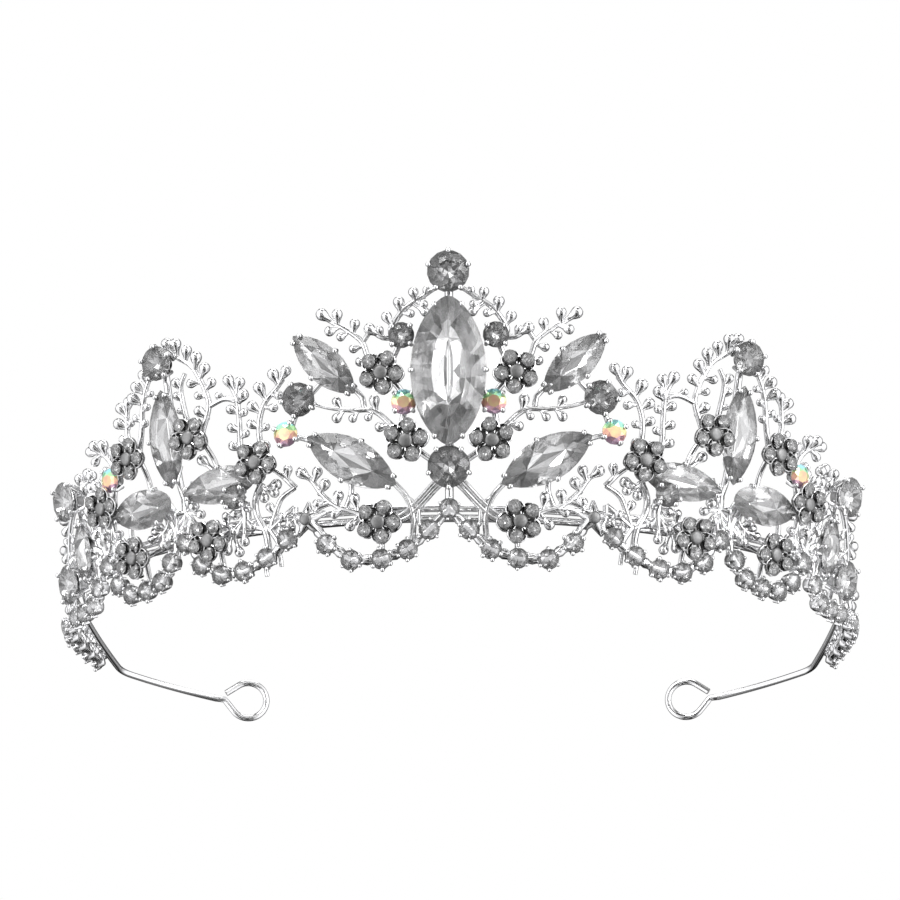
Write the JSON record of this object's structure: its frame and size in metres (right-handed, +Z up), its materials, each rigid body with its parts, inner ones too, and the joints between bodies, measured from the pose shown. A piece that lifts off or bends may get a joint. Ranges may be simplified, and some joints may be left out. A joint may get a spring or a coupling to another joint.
{
  "type": "bridal tiara",
  "caption": "Curved bridal tiara: cast silver panels with faceted crystals, flowers and leaf sprigs on a wire head band that ends in hair-grip loops.",
  "frame": {"origin": "centre of the bounding box on the surface the tiara stands on", "axes": "+X to the right as seen from the front, +Y from the front ornament towards the grip loops at the back, +Z up"},
  "size_m": [0.165, 0.1274, 0.0597],
  "materials": {
    "silver_plate": "bright silver plating over cast metal and wire",
    "antique_silver": "darkened silver with small clear stones",
    "clear_crystal": "polished faceted clear crystal, foil backed",
    "smoky_crystal": "polished faceted grey crystal, foil backed",
    "aurora_crystal": "polished faceted crystal with a rainbow coating"
  },
  "bodies": {
    "root": {"base_round_stone": "smoky_crystal", "centre_frame": "silver_plate", "centre_navette": "clear_crystal", "crest_round_stone_left": "smoky_crystal", "crest_round_stone_right": "smoky_crystal", "end_flower_left": "antique_silver", "end_flower_right": "antique_silver", "end_frame_left": "silver_plate", "end_frame_right": "silver_plate", "end_lower_round_stone_left": "clear_crystal", "end_lower_round_stone_right": "clear_crystal", "end_navette_left": "clear_crystal", "end_navette_right": "clear_crystal", "end_upper_round_stone_left": "clear_crystal", "end_upper_round_stone_right": "clear_crystal", "flank_flower_left": "antique_silver", "flank_flower_right": "antique_silver", "flank_navette_left": "clear_crystal", "flank_navette_right": "clear_crystal", "flank_pear_stone_left": "clear_crystal", "flank_pear_stone_right": "clear_crystal", "flank_round_stone_left": "smoky_crystal", "flank_round_stone_right": "smoky_crystal", "head_band": "silver_plate", "inner_aurora_stone_left": "aurora_crystal", "inner_aurora_stone_right": "aurora_crystal", "inner_scallop_flower_left": "antique_silver", "inner_scallop_flower_right": "antique_silver", "inner_side_frame_left": "silver_plate", "inner_side_frame_right": "silver_plate", "lower_flower_left": "antique_silver", "lower_flower_right": "antique_silver", "lower_navette_left": "clear_crystal", "lower_navette_right": "clear_crystal", "outer_aurora_stone_left": "aurora_crystal", "outer_aurora_stone_right": "aurora_crystal", "outer_scallop_flower_left": "antique_silver", "outer_scallop_flower_right": "antique_silver", "outer_side_flower_left": "antique_silver", "outer_side_flower_right": "antique_silver", "outer_side_frame_left": "silver_plate", "outer_side_frame_right": "silver_plate", "scallop_flower_left": "antique_silver", "scallop_flower_right": "antique_silver", "shoulder_aurora_stone_left": "aurora_crystal", "shoulder_aurora_stone_right": "aurora_crystal", "shoulder_round_stone_left": "smoky_crystal", "shoulder_round_stone_right": "smoky_crystal", "side_flower_left": "antique_silver", "side_flower_right": "antique_silver", "side_navette_left": "clear_crystal", "side_navette_right": "clear_crystal", "support_wire": "silver_plate", "top_round_stone": "smoky_crystal", "upper_flower_left": "antique_silver", "upper_flower_right": "antique_silver", "upper_navette_left": "clear_crystal", "upper_navette_right": "clear_crystal", "upper_round_stone_left": "smoky_crystal", "upper_round_stone_right": "smoky_crystal"}
  },
  "joints": []
}
